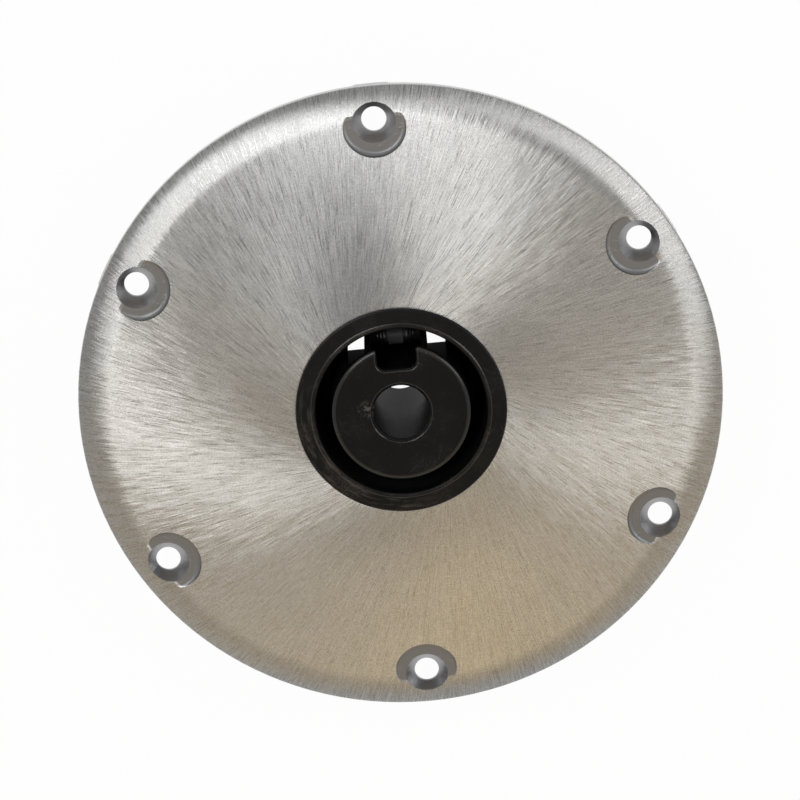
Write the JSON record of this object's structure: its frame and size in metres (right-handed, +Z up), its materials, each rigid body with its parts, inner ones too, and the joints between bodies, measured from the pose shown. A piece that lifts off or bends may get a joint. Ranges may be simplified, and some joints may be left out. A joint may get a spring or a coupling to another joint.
{
  "type": "boat seat pedestal base plate",
  "caption": "Domed cast deck plate with countersunk holes and a plug-in socket for a tubular seat post with a centre pin, held by a sprung latch.",
  "frame": {"origin": "centre of the mounting hole circle on the deck plane, under the plate's rim", "axes": "+Z up out of the deck along the post, +Y towards the first mounting hole and the socket's key notch"},
  "size_m": [0.2286, 0.2292, 0.0642],
  "materials": {
    "brushed_aluminium": "satin, radially brushed on the dome",
    "black_nylon": "moulded, slightly glossy",
    "latch_acetal": "moulded, smooth",
    "stainless_steel": "plain",
    "spring_wire": "drawn wire"
  },
  "bodies": {
    "base": {"base_plate": "brushed_aluminium", "socket_bushing": "black_nylon", "latch_pin": "stainless_steel", "latch_spring": "spring_wire", "bushing_screw_1": "stainless_steel", "bushing_screw_2": "stainless_steel", "bushing_screw_3": "stainless_steel"},
    "latch": {"latch": "latch_acetal"}
  },
  "joints": [
    {"name": "latch_pivot", "type": "hinge", "parent": "base", "child": "latch", "pos_m": [0, 0.0198, -0.015], "axis": [1, 0, 0], "range_deg": [-11, 0], "stiffness_Nm_per_rad": 0.2, "springref_deg": 14.32, "deforming": ["latch_spring"]}
  ]
}
